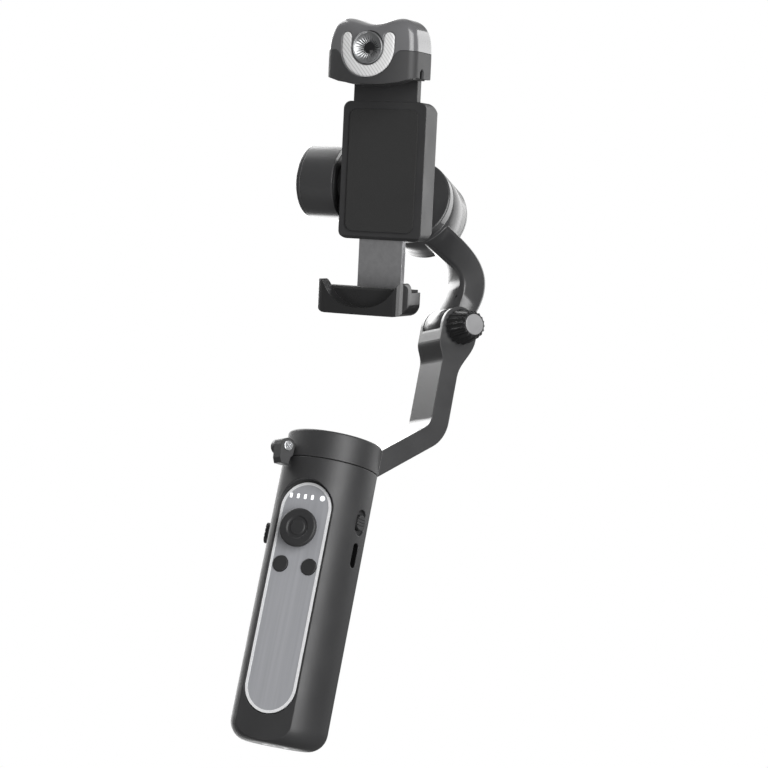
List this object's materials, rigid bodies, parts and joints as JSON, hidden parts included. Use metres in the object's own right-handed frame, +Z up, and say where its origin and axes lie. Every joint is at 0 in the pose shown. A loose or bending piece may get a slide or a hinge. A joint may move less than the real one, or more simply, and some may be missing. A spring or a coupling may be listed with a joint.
{
  "type": "smartphone gimbal",
  "caption": "Handheld smartphone gimbal: round handle with a control panel, turning cap, folding side arm, roll and tilt motors and a sprung clamp that carries a tracking module.",
  "frame": {"origin": "middle of the handle's foot, at the mouth of the tripod thread", "axes": "+Z up the handle, -Y the side with the control panel, +X to the right of someone who faces the panel"},
  "size_m": [0.076, 0.0872, 0.2698],
  "materials": {
    "charcoal_plastic": "satin moulded plastic",
    "black_plastic": "fine matte plastic",
    "gloss_shell": "glossy grey moulding",
    "brushed_plate": "brushed along its length",
    "silver_trim": "bright edge",
    "steel": "turned steel",
    "copper_winding": "wound stator",
    "circuit_board": "green board",
    "battery_wrap": "shrink film",
    "light_plastic": "milky diffuser",
    "lens": "dark glass",
    "rubber_pad": "soft pad",
    "arm_metal": "satin painted light alloy"
  },
  "bodies": {
    "handle": {"handle_tube": "charcoal_plastic", "tripod_insert": "steel", "battery_tray": "black_plastic", "battery_cell": "battery_wrap", "main_board": "circuit_board", "usb_port": "steel", "pad_housing": "black_plastic", "panel_border": "silver_trim", "panel_plate": "brushed_plate", "panel_board": "circuit_board", "battery_lamps": "light_plastic", "mode_lamp": "light_plastic", "joystick_socket": "black_plastic", "pan_motor_base": "black_plastic", "pan_bearings": "steel", "pan_stator": "copper_winding"},
    "rocker": {"joystick_rocker": "steel"},
    "stick": {"joystick_stem": "steel", "joystick_cap": "black_plastic"},
    "left_button": {"left_button": "black_plastic"},
    "right_button": {"right_button": "black_plastic"},
    "power_slider": {"power_slider": "black_plastic"},
    "zoom_slider": {"zoom_slider": "black_plastic"},
    "pan": {"pan_cap": "charcoal_plastic", "pan_shaft": "steel", "pan_magnets": "steel", "lower_arm": "arm_metal", "hinge_pin": "steel", "hook_screw": "steel"},
    "hook": {"fold_hook": "charcoal_plastic"},
    "knob": {"lock_knob": "black_plastic", "knob_disc": "gloss_shell"},
    "upper": {"upper_arm": "arm_metal", "roll_bearings": "steel", "roll_stator": "copper_winding", "roll_cover": "arm_metal"},
    "roll": {"roll_arm": "arm_metal", "roll_shaft": "steel", "roll_magnets": "steel", "tilt_bearings": "steel", "tilt_stator": "copper_winding", "tilt_cover": "arm_metal"},
    "clamp": {"clamp_body": "charcoal_plastic", "clamp_cover": "black_plastic", "back_pad": "rubber_pad", "tilt_shaft": "steel", "tilt_magnets": "steel", "spring_drum": "steel", "upper_jaw": "charcoal_plastic", "upper_pad": "rubber_pad", "tracker_base": "charcoal_plastic", "tracker_shell": "gloss_shell", "light_ring": "light_plastic", "lens_ring": "silver_trim", "lens_glass": "lens", "tracker_magnet": "steel"},
    "jaw": {"lower_jaw": "charcoal_plastic", "lower_pad": "rubber_pad", "slide_plate": "steel"}
  },
  "joints": [
    {"name": "pan_turn", "type": "hinge", "parent": "handle", "child": "pan", "pos_m": [0, 0, 0], "axis": [0, 0, 1], "range_deg": [-160, 160]},
    {"name": "fold_hinge", "type": "hinge", "parent": "pan", "child": "upper", "pos_m": [0.02283, 0.0326, 0.168], "axis": [-0.8192, 0.5736, 0], "range_deg": [0, 110]},
    {"name": "roll_turn", "type": "hinge", "parent": "upper", "child": "roll", "pos_m": [0, 0.0372, 0.2172], "axis": [0, 1, 0], "range_deg": [-120, 120]},
    {"name": "tilt_turn", "type": "hinge", "parent": "roll", "child": "clamp", "pos_m": [-0.031, 0.0092, 0.2172], "axis": [1, 0, 0], "range_deg": [-65, 5]},
    {"name": "jaw_slide", "type": "slide", "parent": "clamp", "child": "jaw", "axis": [0, 0.3486, -0.9373], "range_m": [-0.018, 0.0104]},
    {"name": "knob_turn", "type": "hinge", "parent": "pan", "child": "knob", "pos_m": [0.02283, 0.0326, 0.168], "axis": [0.8192, -0.5736, 0], "range_deg": [0, 270]},
    {"name": "hook_swing", "type": "hinge", "parent": "pan", "child": "hook", "pos_m": [-0.01182, -0.01688, 0.105], "axis": [-0.8192, 0.5736, 0], "range_deg": [0, 90]},
    {"name": "stick_up_down", "type": "hinge", "parent": "handle", "child": "rocker", "pos_m": [0, -0.0103, 0.076], "axis": [1, 0, 0], "range_deg": [-10, 10], "stiffness_Nm_per_rad": 0.02},
    {"name": "stick_left_right", "type": "hinge", "parent": "rocker", "child": "stick", "pos_m": [0, -0.0103, 0.076], "axis": [0, 0, 1], "range_deg": [-10, 10], "stiffness_Nm_per_rad": 0.02},
    {"name": "left_press", "type": "slide", "parent": "handle", "child": "left_button", "axis": [0, 1, 0], "range_m": [0, 0.0005], "stiffness_N_per_m": 800},
    {"name": "right_press", "type": "slide", "parent": "handle", "child": "right_button", "axis": [0, 1, 0], "range_m": [0, 0.0005], "stiffness_N_per_m": 800},
    {"name": "power_slide", "type": "slide", "parent": "handle", "child": "power_slider", "axis": [0, 0, 1], "range_m": [-0.0015, 0.0015], "stiffness_N_per_m": 300},
    {"name": "zoom_slide", "type": "slide", "parent": "handle", "child": "zoom_slider", "axis": [0, 0, 1], "range_m": [-0.0015, 0.0015], "stiffness_N_per_m": 300}
  ]
}
